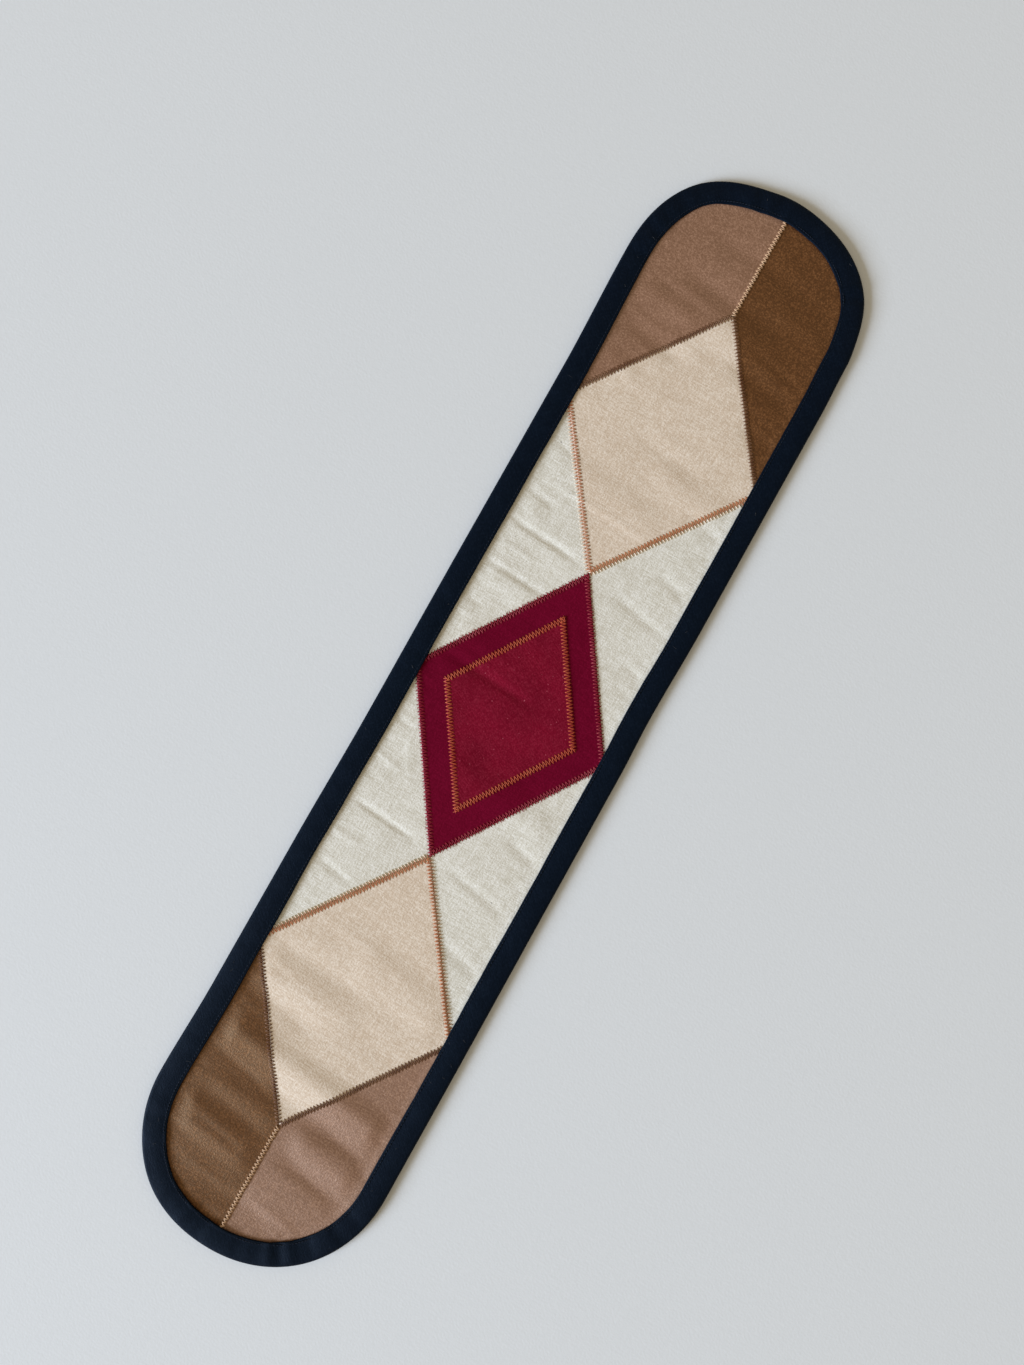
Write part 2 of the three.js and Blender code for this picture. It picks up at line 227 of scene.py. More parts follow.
class Amount:
    """A value that changes over the cloth. Each sum on it adds one Math node."""

    def __init__(self, finish, socket):
        self.finish, self.socket = finish, socket

    def maths(self, operation, first, second=0.0):
        return self.finish.add("ShaderNodeMath", {"operation": operation}, {0: first, 1: second})

    def __add__(self, other):
        return self.maths("ADD", self, other)

    __radd__ = __add__

    def __sub__(self, other):
        return self.maths("SUBTRACT", self, other)

    def __rsub__(self, other):
        return self.maths("SUBTRACT", other, self)

    def __mul__(self, other):
        return self.maths("MULTIPLY", self, other)

    __rmul__ = __mul__

    def sine(self):
        return self.maths("SINE", self)

    def clipped(self):
        return self.finish.add("ShaderNodeClamp", {}, {0: self, 1: 0.0, 2: 1.0})


class Finish:
    """One cloth's or thread's finish, worked out in the piece's own metres."""

    def __init__(self, name, roughness, gloss):
        self.material = bpy.data.materials.new(name)
        self.material.use_nodes = True
        self.tree = self.material.node_tree
        self.shader = self.tree.nodes["Principled BSDF"]
        self.shader.inputs["Roughness"].default_value = roughness
        self.shader.inputs["Specular IOR Level"].default_value = gloss
        self.spot = self.add("ShaderNodeTexCoord", {}, {}, "Object")

    def add(self, kind, settings=None, sockets=None, output=0):
        node = self.tree.nodes.new(kind)
        for name, value in (settings or {}).items():
            setattr(node, name, value)
        for key, value in (sockets or {}).items():
            self.feed(node.inputs[key], value)
        return Amount(self, node.outputs[output])

    def feed(self, socket, value):
        if isinstance(value, Amount):
            self.tree.links.new(value.socket, socket)
        else:
            socket.default_value = value

    def stretched(self, across, along, turn=0.0):
        """Places on the cloth, turned and scaled so that 1 is one repeat."""
        rotated = self.add("ShaderNodeVectorRotate", {"rotation_type": "Z_AXIS"},
                           {"Vector": self.spot, "Angle": turn})
        return self.add("ShaderNodeVectorMath", {"operation": "MULTIPLY"},
                        {0: rotated, 1: (1 / (across * MM), 1 / (along * MM), 1 / (across * MM))})

    def cloud(self, across, along, detail=2.0, turn=0.0, seed=0.0):
        """Soft noise from 0 to 1, with lumps of those sizes in millimetres."""
        where = self.add("ShaderNodeVectorMath", {"operation": "ADD"},
                         {0: self.stretched(across, along, turn), 1: (seed, seed, seed)})
        return self.add("ShaderNodeTexNoise", {}, {"Vector": where, "Scale": 1.0, "Detail": detail})

    def mixed(self, share, first, second):
        return self.add("ShaderNodeMix", {"data_type": "RGBA"}, {0: share, 6: first, 7: second}, 2)

    def weave(self, pitch, turn=0.0):
        """Over and under threads of a plain weave, 0 in the holes to 1 on the crossings."""
        wobble = self.cloud(3.0, 3.0, 1.0)
        parts = self.add("ShaderNodeSeparateXYZ", {}, {0: self.stretched(pitch, pitch, turn)})
        up = Amount(self, parts.socket.node.outputs[1])
        warp = ((parts + wobble * 0.6) * math.pi).sine()
        weft = ((up + wobble * 0.6) * math.pi).sine()
        return warp * weft * 0.5 + 0.5

    def relief(self, height):
        """Raises the face by a height in millimetres."""
        bump = self.add("ShaderNodeBump", {}, {"Height": height, "Distance": MM, "Strength": 1.0})
        self.feed(self.shader.inputs["Normal"], bump)


def colour(red, green, blue):
    """A colour as the eye reads it, 0 to 255, turned into the light that cloth sends back."""
    parts = [part / 255 for part in (red, green, blue)]
    return tuple(p / 12.92 if p <= 0.04045 else ((p + 0.055) / 1.055) ** 2.4 for p in parts) + (1.0,)


WEAVE_RELIEF = 0.045
THREAD_RELIEF = 0.14
FLECK_RELIEF = 0.13
PATCH_RELIEF = 0.15
FLECK_SIZE = 0.85
SLUB_THICK = 0.5
WEAVE_HOLE_PAINTED_SHADE = 0.3
THREAD_CONTRAST = 7.0
PALE_FROM = 3.2
SHADE_TO = 3.3


def cotton(name, main, shade, pale, roughness=0.85, gloss=0.15, ior=1.5, tint=(1, 1, 1, 1), pitch=0.42,
           turn=0.0, slub=0.35, slub_long=9.0, mottle=0.5, grain=0.5, crumple=0.3, speck=None, seed=0.0):
    """Plain woven cotton: a main colour, paler on its thick threads and darker on its thin ones, with
    painted shade in the holes of its weave.
    """
    cloth = Finish(name, roughness, gloss)
    cloth.shader.inputs["IOR"].default_value = ior
    cloth.shader.inputs["Specular Tint"].default_value = tint
    warp_slub = cloth.cloud(SLUB_THICK, slub_long, 2.0, turn, seed)
    weft_slub = cloth.cloud(slub_long, SLUB_THICK, 2.0, turn, seed + 5)
    threads = (warp_slub + weft_slub) * 0.5
    patches = cloth.cloud(26.0, 20.0, 3.0, turn, seed + 9)
    lumps = cloth.cloud(32.0, 9.0, 1.0, 0.1, seed + 13)
    flecks = cloth.cloud(FLECK_SIZE, FLECK_SIZE, 2.0, turn, seed + 17)
    weave = cloth.weave(pitch, turn)
    tone = cloth.mixed(((1 - patches) * 2.4 - 0.8).clipped() * mottle, main, shade)
    tone = cloth.mixed((threads * THREAD_CONTRAST - PALE_FROM).clipped() * slub, tone, pale)
    tone = cloth.mixed((SHADE_TO - threads * THREAD_CONTRAST).clipped() * slub, tone, shade)
    tone = cloth.mixed((flecks * 5.0 - 2.2).clipped() * grain, tone, shade)
    tone = cloth.mixed((2.3 - flecks * 5.0).clipped() * grain, tone, pale)
    # Painted shade: the holes between the woven threads are darkened toward the shade colour.
    tone = cloth.mixed((1 - weave) * WEAVE_HOLE_PAINTED_SHADE, tone, shade)
    if speck:
        rare = cloth.cloud(1.0, 1.0, 0.0, turn, seed + 21)
        tone = cloth.mixed((rare * 16.0 - 13.0).clipped() * 0.7, tone, speck)
    cloth.feed(cloth.shader.inputs["Base Color"], tone)
    cloth.feed(cloth.shader.inputs["Roughness"], roughness - 0.08 * threads + 0.04)
    cloth.relief(weave * WEAVE_RELIEF + threads * THREAD_RELIEF + flecks * FLECK_RELIEF
                 + patches * PATCH_RELIEF + lumps * crumple)
    return cloth


ivory = cotton("ivory_cotton", colour(229, 227, 214), colour(200, 194, 177), colour(245, 244, 236),
               slub=0.8, slub_long=6.0, grain=0.5, speck=colour(112, 104, 94), seed=1.0)
PANEL_IN = 2.7
PANEL_COLUMNS = 76
PANEL_STEP = 1.1
TIP_WIDTH = 8.0
ys = np.arange(-SPINE_END - 60, SPINE_END + 60, PANEL_STEP)
widths = [edge_across(side, ys, PANEL_IN) for side in (-1, 1)]
kept = (inset_at(np.zeros_like(ys), ys) > PANEL_IN) & (np.minimum(*widths) > TIP_WIDTH)
panel, panel_area = cloth_sheet("quilt_panel", ys[kept], -widths[0][kept], widths[1][kept], PANEL_COLUMNS,
                                ground_low, ground_top, ivory)
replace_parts(panel, "panel")


# Sewn-on patches
# Diamonds and corner pieces cut from plain cottons and a soft sateen, laid on the ground cloth.
# The binding catches the side tips of the large diamonds and the corners' rims.
PATCH_RISE = 0.42
PATCH_UNDER = 0.06
PATCH_IN = 10.2
CORNER_IN = 8.2
SEAM_OVERLAP = 0.05
CENTRE = (0.0, 78.0, 52.0)
INSET = (0.0, 54.0, 36.0)
UPPER = (150.0, 72.0, 52.0)
LOWER = (-150.0, 72.0, 52.0)
PATCH_STEP = 1.5
PATCH_COLUMNS = 66


def half_width(diamond, y):
    middle, half_length, widest = diamond
    return widest * (1 - np.abs(y - middle) / half_length)


def lay_patch(name, y, left, right, finish, layers=1, columns=PATCH_COLUMNS):
    """Cloth laid on the ground cloth, or on a patch there when there are two layers."""
    def low(px, py):
        return ground_top(px, py) + PATCH_RISE * (layers - 1) + PATCH_UNDER

    def top(px, py):
        return ground_top(px, py) + PATCH_RISE * layers

    patch, area = cloth_sheet(name, y, left, right, columns, low, top, finish)
    return patch


def lay_diamond(name, diamond, finish, layers=1):
    middle, half_length, _ = diamond
    y = np.arange(middle - half_length, middle + half_length + 0.01, PATCH_STEP)
    half = np.maximum(half_width(diamond, y), 0.15)
    left = -np.minimum(half, edge_across(-1, y, PATCH_IN))
    right = np.minimum(half, edge_across(1, y, PATCH_IN))
    return lay_patch(name, y, left, right, finish, layers)


dark_crimson = cotton("dark_crimson_cotton", colour(110, 2, 37), colour(92, 0, 28), colour(124, 12, 48),
                      gloss=0.06, seed=3.0, slub=0.3)
crimson = cotton("crimson_cotton", colour(130, 9, 40), colour(104, 2, 28), colour(152, 44, 66),
                 gloss=0.08, turn=0.5, slub=0.3, slub_long=4.0, mottle=1.0, speck=colour(190, 96, 112),
                 seed=7.0)
cream = cotton("cream_cotton", colour(225, 209, 188), colour(201, 180, 155), colour(242, 231, 215), slub=0.6,
               slub_long=5.0, grain=0.55, seed=11.0)
mauve = cotton("mauve_sateen", colour(142, 104, 82), colour(118, 82, 61), colour(166, 128, 104),
               roughness=0.52, gloss=1.0, ior=1.65, tint=(1.0, 0.80, 0.62, 1.0), pitch=0.36, seed=13.0,
               slub=0.25, grain=1.0)
brown = cotton("brown_sateen", colour(88, 48, 22), colour(62, 29, 10), colour(124, 81, 48),
               roughness=0.52, gloss=1.0, ior=1.55, tint=(1.0, 0.67, 0.34, 1.0), pitch=0.36, seed=17.0,
               slub=0.4, grain=1.0)

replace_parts(lay_diamond("centre_diamond_cloth", CENTRE, dark_crimson), "centre_diamond")
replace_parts(lay_diamond("centre_inset_cloth", INSET, crimson, 2), "centre_inset")
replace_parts(lay_diamond("upper_diamond_cloth", UPPER, cream), "upper_diamond")
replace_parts(lay_diamond("lower_diamond_cloth", LOWER, cream), "lower_diamond")

CORNER_START = 155.4
CORNER_TIP_INSET = 8.0
CORNER_COLUMNS = 40
for end_name, end in (("upper", 1), ("lower", -1)):
    diamond = UPPER if end > 0 else LOWER
    for side_name, side in (("left", -1), ("right", 1)):
        rows = end * np.arange(CORNER_START, SPINE_END + 60, PATCH_STEP)
        rows = np.sort(rows[inset_at(np.full_like(rows, side * 6.0), rows) > CORNER_TIP_INSET])
        seam = np.maximum(half_width(diamond, rows), 0) - SEAM_OVERLAP
        rim = np.maximum(edge_across(side, rows, CORNER_IN), seam + 0.1)
        cloth = mauve if side * end < 0 else brown
        left, right = (seam, rim) if side > 0 else (-rim, -seam)
        node = f"{end_name}_{side_name}_corner"
        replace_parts(lay_patch(node + "_cloth", rows, left, right, cloth, 1, CORNER_COLUMNS), node)


# Binding
# A strip of navy cotton cut on the bias, folded over the edge and sewn down on the face.
# The fold stands a little proud of the face and puckers where it turns round the ends.
FOLD_HEIGHT = 3.5
LIP_ROUND = 0.47
LIP_MIDDLE = 3.02
FOLD_DEPTH = 1.7
PUFF = 0.28
BINDING_STEP = 1.5
END_STEP = 1.4
STRAIGHT_PUCKER = 0.10
END_PUCKER = 0.30
LONG_PUCKER = 0.12
LIP_SWAY = 0.22
LIP_SHAKE = 0.06
SEWN_DIMPLE = 0.10
SEWN_IN = 10.6


def round_of(inset, height, across, up, first, last, count):
    """Points round part of an oval about a point of the section, between two angles in degrees."""
    turns = np.radians(np.linspace(first, last, count))
    return [(inset + across * math.cos(turn), height + up * math.sin(turn)) for turn in turns]


def binding_section():
    """The folded strip's section, from its lower lip round the outer fold to its slot."""
    lip_in = BINDING_WIDTH - LIP_ROUND
    section = round_of(lip_in, LIP_ROUND, LIP_ROUND, LIP_ROUND, 90, -90, 6)
    section += [(inset, 0.0) for inset in (9.0, 6.0, 3.5)]
    section += round_of(FOLD_DEPTH, FOLD_HEIGHT / 2, -FOLD_DEPTH, FOLD_HEIGHT / 2, -90, 90, 11)
    for inset in (2.6, 3.8, 5.2, 6.8, 8.4, 9.6, 10.3, 10.8):
        share = (inset - FOLD_DEPTH) / (BINDING_WIDTH - FOLD_DEPTH)
        section.append((inset, FOLD_HEIGHT + PUFF * math.sin(math.pi * min(share * 1.25, 1.0))))
    section += round_of(lip_in, LIP_MIDDLE, LIP_ROUND, LIP_ROUND, 75, -90, 6)
    section += [(8.0, LIP_MIDDLE - LIP_ROUND), (2.4, LIP_MIDDLE - LIP_ROUND), (2.0, 1.8),
                (2.4, 2 * LIP_ROUND), (8.0, 2 * LIP_ROUND)]
    return np.array(section)


def edge_spokes():
    """Roots, outward directions and reaches all round the edge, and each one's run from the start."""
    side_y = np.arange(-SPINE_END, SPINE_END + 0.1, BINDING_STEP)
    turns = np.arange(90 - END_STEP, -90, -END_STEP)
    spokes = []
    for y in side_y:
        spokes.append((y, 1.0, 0.0, float(reach_of("right", np.array(y)))))
    for turn in turns:
        spokes.append((SPINE_END, math.sin(math.radians(turn)), math.cos(math.radians(turn)),
                       float(reach_of("upper", np.array(turn)))))
    for y in side_y[::-1]:
        spokes.append((y, -1.0, 0.0, float(reach_of("left", np.array(y)))))
    for turn in -turns:
        spokes.append((-SPINE_END, math.sin(math.radians(turn)), -math.cos(math.radians(turn)),
                       float(reach_of("lower", np.array(turn)))))
    spokes = np.array(spokes)
    tips = np.stack([spokes[:, 3] * spokes[:, 1], spokes[:, 0] + spokes[:, 3] * spokes[:, 2]], 1)
    run = np.concatenate([[0], np.cumsum(np.linalg.norm(np.diff(tips, axis=0), axis=1))])
    return spokes, run


def wander(run, long, seed):
    """A smooth uneven line from -1 to 1, with swells about that long in millimetres."""
    rng = np.random.default_rng(seed)
    total = run[-1] + 1.0
    count = max(4, int(total / long))
    knots = rng.uniform(-1, 1, count)
    at = run / total * count
    low = np.floor(at).astype(int)
    share = smooth(at - low)
    return knots[low % count] * (1 - share) + knots[(low + 1) % count] * share


spokes, run = edge_spokes()
section = binding_section()
on_face = smooth((section[:, 1] - 2.2) / 1.0) * smooth(section[:, 0] / 3.0)
at_lip = smooth((section[:, 0] - 8.5) / 3.0) * smooth((section[:, 1] - 2.0) / 0.6)
bent = smooth((np.abs(spokes[:, 0] + spokes[:, 2]) - SPINE_END + 6) / 8)
pucker = wander(run, 5.5, 21) * (STRAIGHT_PUCKER + END_PUCKER * bent) + wander(run, 16.0, 22) * LONG_PUCKER
lip_wander = wander(run, 24.0, 23) * LIP_SWAY + wander(run, 7.0, 24) * LIP_SHAKE
inset = section[None, :, 0] + lip_wander[:, None] * at_lip[None, :]
height = section[None, :, 1] + pucker[:, None] * on_face[None, :]
dimple = SEWN_DIMPLE * np.exp(-(((section[:, 0] - SEWN_IN) / 0.5) ** 2)) * (section[:, 1] > 3)
height = height - dimple[None, :]
out = spokes[:, 3:4] - inset
points = np.stack([out * spokes[:, 1:2], spokes[:, 0:1] + out * spokes[:, 2:3], height], 2)
count, corners = inset.shape
here = np.arange(count)[:, None] * corners
there = ((np.arange(count) + 1) % count)[:, None] * corners
corner = np.arange(corners)
following = (corner + 1) % corners
loop = np.stack([here + corner, here + following, there + following, there + corner], 2).reshape(-1, 4)

navy = cotton("navy_bias_cotton", colour(6, 14, 27), colour(4, 9, 19), colour(20, 29, 42), roughness=0.6,
              gloss=0.11, tint=(0.45, 0.7, 1.0, 1.0), pitch=0.4, turn=math.radians(45), slub=0.3,
              crumple=0.15, seed=19.0)
binding = new_piece("folded_binding", points.reshape(-1, 3), loop, navy)
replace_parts(binding, "binding")


# Binding topstitch and lint
# A straight row of short navy stitches runs just inside the binding's sewn edge, all the way round.
# A few pale fibres have settled on the dark cloth.
TOPSTITCH_PITCH = 1.8
TOPSTITCH_LONG = 1.35
TOPSTITCH_THICK = 0.3
TOPSTITCH_SINK = 0.12
THREAD_SIDES = 6


def edge_place(where, inset):
    """The point that lies that far in from the edge, at a run along it."""
    root = np.interp(where, run, spokes[:, 0])
    across, along, reach = (np.interp(where, run, spokes[:, column]) for column in (1, 2, 3))
    return np.stack([(reach - inset) * across, root + (reach - inset) * along], -1)


def strand_mesh(paths, radii):
    """Round strands along paths (strand, step, xyz), closed at both ends."""
    strands, steps, _ = paths.shape
    ahead = np.gradient(paths, axis=1)
    ahead /= np.linalg.norm(ahead, axis=2, keepdims=True)
    side = np.cross(ahead, np.array([0.0, 0.0, 1.0]))
    side /= np.linalg.norm(side, axis=2, keepdims=True) + 1e-9
    up = np.cross(side, ahead)
    turns = np.arange(THREAD_SIDES) * 2 * math.pi / THREAD_SIDES
    ring = (np.cos(turns)[:, None] * side[:, :, None, :] + np.sin(turns)[:, None] * up[:, :, None, :])
    points = paths[:, :, None, :] + ring * radii[:, :, None, None]
    points = points.reshape(-1, 3)
    step = np.arange(steps - 1)[:, None] * THREAD_SIDES
    turn = np.arange(THREAD_SIDES)
    after = (turn + 1) % THREAD_SIDES
    skin = np.stack([step + turn, step + after, step + THREAD_SIDES + after, step + THREAD_SIDES + turn], 2)
    skin = skin.reshape(-1, 4)[:, ::-1]
    shift = np.arange(strands)[:, None, None] * steps * THREAD_SIDES
    faces = (skin[None] + shift).reshape(-1, 4).tolist()
    start = turn.tolist()
    stop = (turn + (steps - 1) * THREAD_SIDES).tolist()[::-1]
    for strand in range(strands):
        first = strand * steps * THREAD_SIDES
        faces.append([first + place for place in start])
        faces.append([first + place for place in stop])
    return points, faces


def thread(name, main, shade, pale, gloss=0.3):
    """Twisted sewing thread: a soft shine with darker and paler stretches."""
    yarn = Finish(name, 0.55, gloss)
    streak = yarn.cloud(0.7, 0.7, 2.0)
    broad = yarn.cloud(14.0, 14.0, 1.0)
    tone = yarn.mixed((streak * 2.2 - 0.6).clipped(), shade, main)
    tone = yarn.mixed((broad * 2.0 - 0.8).clipped() * 0.5, tone, pale)
    yarn.feed(yarn.shader.inputs["Base Color"], tone)
    yarn.relief(yarn.cloud(0.18, 0.18, 1.0) * 0.04)
    return yarn


starts = np.arange(0, run[-1], TOPSTITCH_PITCH)
share = np.linspace(0, 1, 5)
where = starts[:, None] + share * TOPSTITCH_LONG
flat = edge_place(where, SEWN_IN)
height = FOLD_HEIGHT - TOPSTITCH_SINK + (0.02 + TOPSTITCH_THICK / 2) * np.sin(share * math.pi) ** 0.6
paths = np.concatenate([flat, np.broadcast_to(height[None, :, None], flat.shape[:2] + (1,))], 2)
radii = np.full(paths.shape[:2], TOPSTITCH_THICK / 2)
navy_thread = thread("navy_thread", colour(24, 32, 46), colour(10, 15, 25), colour(44, 54, 68), gloss=0.15)
topstitch = new_piece("binding_topstitch", *strand_mesh(paths, radii), navy_thread)

LINT_COUNT = 34
LINT_THICK = 0.07
rng = np.random.default_rng(5)
where = rng.uniform(0, run[-1], LINT_COUNT)
middle = edge_place(where, rng.uniform(2.5, 10.0, LINT_COUNT))
heading = rng.uniform(0, 2 * math.pi, LINT_COUNT)
long = rng.uniform(0.8, 2.6, LINT_COUNT)
bend = rng.uniform(-0.7, 0.7, LINT_COUNT)
share = np.linspace(-0.5, 0.5, 7)
turned = heading[:, None] + bend[:, None] * share
step = np.stack([np.cos(turned), np.sin(turned)], 2) * long[:, None, None] / 6
flat = middle[:, None, :] + np.cumsum(step, 1) - step.sum(1, keepdims=True) / 2
height = np.full(flat.shape[:2] + (1,), FOLD_HEIGHT + PUFF + 0.1)
lint_finish = thread("pale_lint", colour(92, 92, 92), colour(56, 60, 66), colour(122, 120, 118), gloss=0.1)
lint = new_piece("binding_lint", *strand_mesh(np.concatenate([flat, height], 2),
                                              np.full(flat.shape[:2], LINT_THICK / 2)), lint_finish)


# Zigzag stitching
# Machine zigzag that holds each patch down, one thread that swings from side to side of the cut edge.
# Each stroke sinks into its needle hole at both ends and stands up a little between them.
# The advance is how far along the seam each stroke carries the thread.
PATCH_ADVANCE = 0.845
SPINE_ADVANCE = 0.91
STROKE_SINK = 0.12
STROKE_STAND = 0.2
THREAD_STEPS = 7
COPPER_WIDTH = 3.7
COPPER_SHIFT = 0.2
COPPER_SEED = 120


def face_top(x, y):
    """The top of whatever cloth lies uppermost at a point."""
    rise = np.zeros_like(x)
    for diamond in (CENTRE, UPPER, LOWER):
        rise = np.where(half_width(diamond, y) > np.abs(x), PATCH_RISE, rise)
    rise = np.where((np.abs(y) > CORNER_START) & (rise == 0), PATCH_RISE, rise)
    rise = np.where(half_width(INSET, y) > np.abs(x), 2 * PATCH_RISE, rise)
    return ground_top(x, y) + rise


def needle_holes(line, width, shift, advance, seed):
    """Needle holes along a seam line, swinging from side to side: left ones, then right ones."""
    (x0, y0), (x1, y1) = line
    long = math.hypot(x1 - x0, y1 - y0)
    along = np.array([(x1 - x0) / long, (y1 - y0) / long])
    aside = np.array([along[1], -along[0]])
    rng = np.random.default_rng(seed)
    at = np.arange(0.3, long - 0.2, advance)
    at = at + rng.normal(0, 0.05, len(at))
    swing = np.where(np.arange(len(at)) % 2 == 0, -0.5, 0.5) * width + rng.normal(0, 0.08, len(at))
    return np.array([x0, y0]) + at[:, None] * along + (swing + shift)[:, None] * aside


def sew(lines, width, shift, thickness, advance, seed):
    """Strands between neighbouring needle holes along several seam lines."""
    found = []
    for number, line in enumerate(lines):
        holes = needle_holes(line, width, shift, advance, seed + number)
        start, stop = holes[:-1], holes[1:]
        share = np.linspace(0, 1, THREAD_STEPS)[None, :, None]
        flat = start[:, None, :] + (stop - start)[:, None, :] * share
        top = face_top(flat[:, :, 0], flat[:, :, 1])
        arch = np.sin(np.linspace(0, math.pi, THREAD_STEPS)) ** 0.55
        lift = -STROKE_SINK + (STROKE_STAND + thickness / 2 + STROKE_SINK / 2) * arch
        middle = flat[:, THREAD_STEPS // 2]
        open_face = inset_at(middle[:, 0], middle[:, 1]) > BINDING_WIDTH - 1.0
        path = np.concatenate([flat, (top + lift[None, :])[:, :, None]], 2)
        found.append(path[open_face])
    paths = np.concatenate(found)
    swell = 0.75 + 0.25 * np.sin(np.linspace(0, math.pi, THREAD_STEPS))
    radii = np.repeat((thickness / 2 * swell)[None, :], len(paths), 0)
    return strand_mesh(paths, radii), paths


def diamond_lines(diamond, ends):
    """Seam lines along a diamond's edges, from each named tip out to both side tips."""
    middle, half_length, widest = diamond
    lines = []
    for end in ends:
        tip = (0.0, middle + end * half_length)
        for side in (-1, 1):
            corner = (side * widest, middle)
            lines.append((tip, corner) if side * end > 0 else (corner, tip))
    return lines


def line_faces_ivory(line):
    """Whether a seam line's left needle holes lie on the ivory cloth, outside the pale diamonds."""
    (x0, y0), (x1, y1) = line
    aside = np.array([y1 - y0, x0 - x1])
    middle = np.array([(x0 + x1) / 2, (y0 + y1) / 2])
    outward = middle - np.array([0.0, UPPER[0] if middle[1] > 0 else LOWER[0]])
    return float(np.dot(-aside, outward)) > 0


copper = thread("copper_thread", colour(204, 130, 82), colour(160, 88, 50), colour(226, 180, 142))
flame = thread("flame_thread", colour(206, 96, 58), colour(160, 54, 36), colour(222, 132, 88))
ruby = thread("ruby_thread", colour(162, 34, 52), colour(120, 10, 34), colour(204, 110, 116))
walnut = thread("walnut_thread", colour(122, 82, 54), colour(88, 54, 34), colour(178, 144, 112))
tan = thread("tan_thread", colour(206, 170, 132), colour(160, 122, 90), colour(226, 198, 166))

centre_lines = diamond_lines(CENTRE, (-1, 1))
copper_lines = diamond_lines(UPPER, (-1,)) + diamond_lines(LOWER, (1,))
end_lines = diamond_lines(UPPER, (1,)) + diamond_lines(LOWER, (-1,))
spine_lines = [((0.0, 222.0), (0.0, 278.0)), ((0.0, -278.0), (0.0, -222.0))]
# Each seam: name, lines, width, shift to one side, thread thickness, advance, seed, thread, material slot.
SEAMS = [
    ("inset_stitching", diamond_lines(INSET, (-1, 1)), 3.3, 1.1, 0.36, PATCH_ADVANCE, 100,
     flame, "crimson_cloth"),
    ("centre_stitching", centre_lines, 3.2, 0.9, 0.36, PATCH_ADVANCE, 110, ruby, "dark_crimson_cloth"),
    ("pale_diamond_stitching", copper_lines, COPPER_WIDTH, COPPER_SHIFT, 0.38, PATCH_ADVANCE, COPPER_SEED,
     copper, "cream_cloth"),
    ("end_stitching", end_lines, 3.1, -0.3, 0.42, PATCH_ADVANCE, 130, walnut, "brown_cloth"),
    ("seam_stitching", spine_lines, 2.1, 0.0, 0.72, SPINE_ADVANCE, 140, tan, "mauve_cloth"),
]
holes_at = []
for name, lines, width, shift, thickness, advance, seed, yarn, slot in SEAMS:
    (strand_points, strand_faces), paths = sew(lines, width, shift, thickness, advance, seed)
    stitching = new_piece(name, strand_points, strand_faces, yarn)
    holes_at.append(paths[:, 0, :2])


# Pale bobbin tips
# The pale under thread is drawn up on the ivory side, so each copper stroke there ends in a pale tip.
# It comes up through the stroke's outer needle hole and lies over the first third of the stroke.
TIP_SHARE = 0.34
TIP_THICK = 0.44
TIP_STAND = 0.38
tips = []
for number, line in enumerate(copper_lines):
    across_holes = needle_holes(line, COPPER_WIDTH, COPPER_SHIFT, PATCH_ADVANCE, COPPER_SEED + number)
    outer = across_holes[0::2] if line_faces_ivory(line) else across_holes[1::2]
    others = across_holes[1::2] if line_faces_ivory(line) else across_holes[0::2]
    several = min(len(outer), len(others))
    start, stop = outer[:several], others[:several]
    share = np.linspace(-0.06, TIP_SHARE, THREAD_STEPS)[None, :, None]
    flat = start[:, None, :] + (stop - start)[:, None, :] * share
    arch = np.sin(np.linspace(0.1, math.pi - 0.4, THREAD_STEPS)) ** 0.5
    top = face_top(flat[..., 0], flat[..., 1]) + 0.02 + TIP_STAND * arch
    path = np.concatenate([flat, top[..., None]], 2)
    tips.append(path[inset_at(start[:, 0], start[:, 1]) > BINDING_WIDTH])
tip_paths = np.concatenate(tips)
tip_finish = thread("pale_thread", colour(238, 224, 200), colour(214, 190, 158), colour(246, 238, 222))
tip_radii = np.full(tip_paths.shape[:2], TIP_THICK / 2)
pale_tips = new_piece("pale_stitch_tips", *strand_mesh(tip_paths, tip_radii), tip_finish)


# Frayed edge
# Cut crimson threads work loose past the stitching, over the ivory, as short fibres.
# They are cotton, finer than the sewing thread, and taper to half their thickness at the loose end.
FRAY_PITCH = 0.5
FRAY_THICK = 0.12
rng = np.random.default_rng(9)
found = []
for (x0, y0), (x1, y1) in centre_lines:
    seam_long = math.hypot(x1 - x0, y1 - y0)
    along = np.array([(x1 - x0) / seam_long, (y1 - y0) / seam_long])
    outward = np.array([along[1], -along[0]])
    outward *= np.sign(np.dot(outward, [x0 + x1, y0 + y1]))
    at = np.arange(1.0, seam_long - 6.0, FRAY_PITCH)
    at = at + rng.normal(0, 0.3, len(at))
    reach = rng.uniform(0.5, 1.5, len(at)) * (rng.random(len(at)) < 0.6) + 0.25
    lean = rng.normal(0, 0.45, len(at))
    share = np.linspace(0, 1, 5)
    out = -0.2 + reach[:, None] * share
    drift = lean[:, None] * reach[:, None] * share ** 1.5
    flat = np.array([x0, y0]) + (at[:, None] + drift)[..., None] * along + out[..., None] * outward
    top = ground_top(flat[..., 0], flat[..., 1]) + PATCH_RISE * (1 - smooth(share * 1.6)) * 0.8 + 0.09
    path = np.concatenate([flat, top[..., None]], 2)
    found.append(path[inset_at(flat[:, 0, 0], flat[:, 0, 1]) > BINDING_WIDTH + 0.5])
fray_paths = np.concatenate(found)
fray_radii = np.repeat((FRAY_THICK / 2 * np.linspace(1, 0.5, 5))[None, :], len(fray_paths), 0)
fray_finish = thread("frayed_crimson", colour(160, 40, 60), colour(124, 14, 38), colour(206, 128, 134),
                     gloss=0.1)
fray = new_piece("centre_frayed_edge", *strand_mesh(fray_paths, fray_radii), fray_finish)
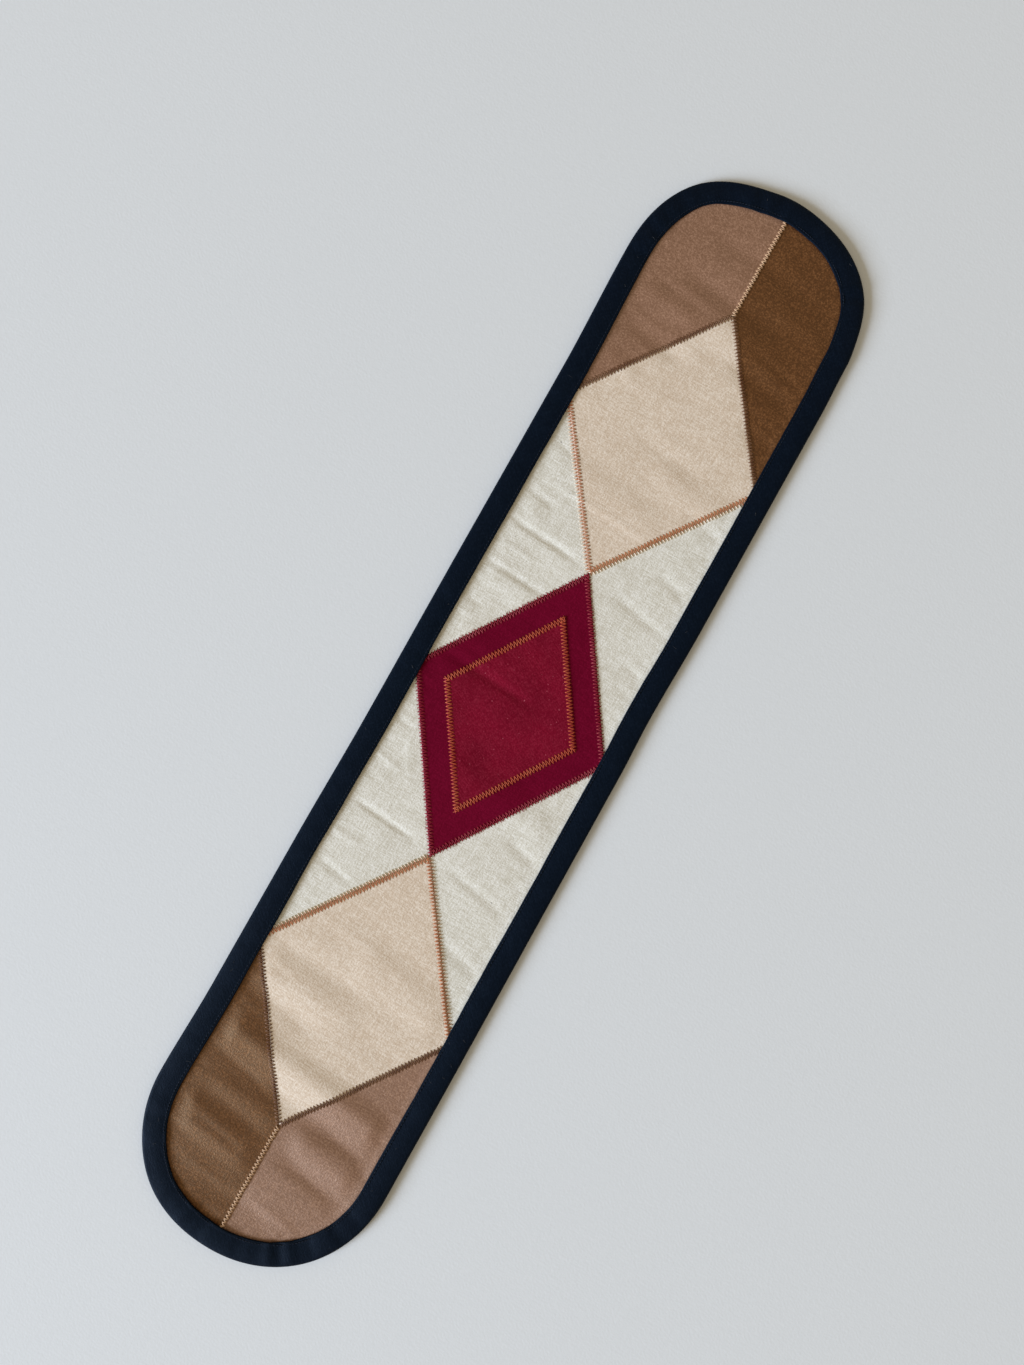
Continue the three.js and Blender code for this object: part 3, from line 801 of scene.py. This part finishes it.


# Needle holes
# A small dark brown disc sits wherever the needle went down: painted shade inside each needle hole.
# Each stroke of thread runs from one hole to the next.
HOLE_RADIUS = 0.2
HOLE_DEEP = 0.12
HOLE_PROUD = 0.03
HOLE_SIDES = 6
# Painted shade: the discs take dark browns for the shade that falls inside each needle hole.
hole_painted_shade_finish = Finish("needle_hole_painted_shade", 0.95, 0.05)
hole_painted_shade_tone = hole_painted_shade_finish.cloud(2.0, 2.0, 1.0)
hole_painted_shade_finish.feed(hole_painted_shade_finish.shader.inputs["Base Color"],
                 hole_painted_shade_finish.mixed(hole_painted_shade_tone, colour(58, 30, 20), colour(92, 54, 36)))
centres = np.concatenate(holes_at)
around = np.arange(HOLE_SIDES) * 2 * math.pi / HOLE_SIDES
tops = face_top(centres[:, 0], centres[:, 1])
ring = np.stack([centres[:, 0:1] + HOLE_RADIUS * np.cos(around),
                 centres[:, 1:2] + HOLE_RADIUS * np.sin(around),
                 np.repeat(tops[:, None] + HOLE_PROUD, HOLE_SIDES, 1)], 2)
under = ring.copy()
under[:, :, 2] -= HOLE_DEEP
hole_points = np.concatenate([ring, under], 1).reshape(-1, 3)
hole_faces = []
for hole in range(len(centres)):
    first = hole * 2 * HOLE_SIDES
    hole_faces.append([first + side for side in range(HOLE_SIDES)])
    hole_faces.append([first + HOLE_SIDES + side for side in range(HOLE_SIDES)][::-1])
    for side in range(HOLE_SIDES):
        after = (side + 1) % HOLE_SIDES
        hole_faces.append([first + side, first + HOLE_SIDES + side,
                           first + HOLE_SIDES + after, first + after])
holes = new_piece("needle_holes", hole_points, hole_faces, hole_painted_shade_finish)


# Surface, light and camera
# A plain pale table, cool daylight from low on the quilt's lower left and warm light from the room.
# The view is from a phone held above the quilt, turned so that the strip leans to the right.
FLOOR_SIZE = 9.0
FLOOR_LOW = -0.05 * MM
table_finish = Finish("pale_table", 0.75, 0.3)
speck = table_finish.cloud(3.0, 3.0, 3.0)
table_finish.feed(table_finish.shader.inputs["Base Color"],
                  table_finish.mixed(speck, colour(217, 221, 222), colour(222, 226, 227)))
table_finish.relief(table_finish.cloud(1.2, 1.2, 2.0) * 0.05)
half = FLOOR_SIZE / 2
table_mesh = bpy.data.meshes.new("table_top")
table_mesh.from_pydata([(-half, -half, FLOOR_LOW), (half, -half, FLOOR_LOW), (half, half, FLOOR_LOW),
                        (-half, half, FLOOR_LOW)], [], [(0, 1, 2, 3)])
table_mesh.materials.append(table_finish.material)
table_top = bpy.data.objects.new("table_top", table_mesh)
bpy.context.scene.collection.objects.link(table_top)

world = bpy.data.worlds.new("room")
bpy.context.scene.world = world
world.use_nodes = True
room = world.node_tree.nodes["Background"]
room.inputs["Color"].default_value = (1.0, 0.85, 0.63, 1.0)
room.inputs["Strength"].default_value = 0.43

WINDOW_PLACE = Vector((-4.4, -5.9, 2.85))
WINDOW_WIDTH = 3.8
WINDOW_HEIGHT = 2.9
WINDOW_POWER = 1080.0
window = bpy.data.lights.new("window", "AREA")
window.shape = "RECTANGLE"
window.size = WINDOW_WIDTH
window.size_y = WINDOW_HEIGHT
window.energy = WINDOW_POWER
window.color = (0.72, 0.82, 1.0)
window_panel = bpy.data.objects.new("window", window)
window_panel.location = WINDOW_PLACE
window_panel.rotation_euler = (-WINDOW_PLACE).to_track_quat("-Z", "Y").to_euler()
bpy.context.scene.collection.objects.link(window_panel)

LENS_LENGTH = 27.03
LENS_FRAME = 36.0
CAMERA_HEIGHT = 0.494
CAMERA_TILT = math.radians(2.4)
STRIP_TURN = math.radians(29.33)
CAMERA_PLACE = (0.00406, -0.00399, CAMERA_HEIGHT)
cos_turn, sin_turn = math.cos(STRIP_TURN), math.sin(STRIP_TURN)
cos_tilt, sin_tilt = math.cos(CAMERA_TILT), math.sin(CAMERA_TILT)
right_hand = Vector((cos_turn, sin_turn, 0.0))
upward = Vector((-sin_turn * cos_tilt, cos_turn * cos_tilt, sin_tilt))
backward = right_hand.cross(upward)
lens = bpy.data.cameras.new("phone_view")
lens.lens = LENS_LENGTH
lens.sensor_width = LENS_FRAME
camera = bpy.data.objects.new("phone_view", lens)
turned = Matrix((right_hand, upward, backward)).transposed().to_4x4()
camera.matrix_world = Matrix.Translation(CAMERA_PLACE) @ turned
bpy.context.scene.collection.objects.link(camera)
bpy.context.scene.camera = camera
bpy.context.scene.view_settings.view_transform = "Standard"
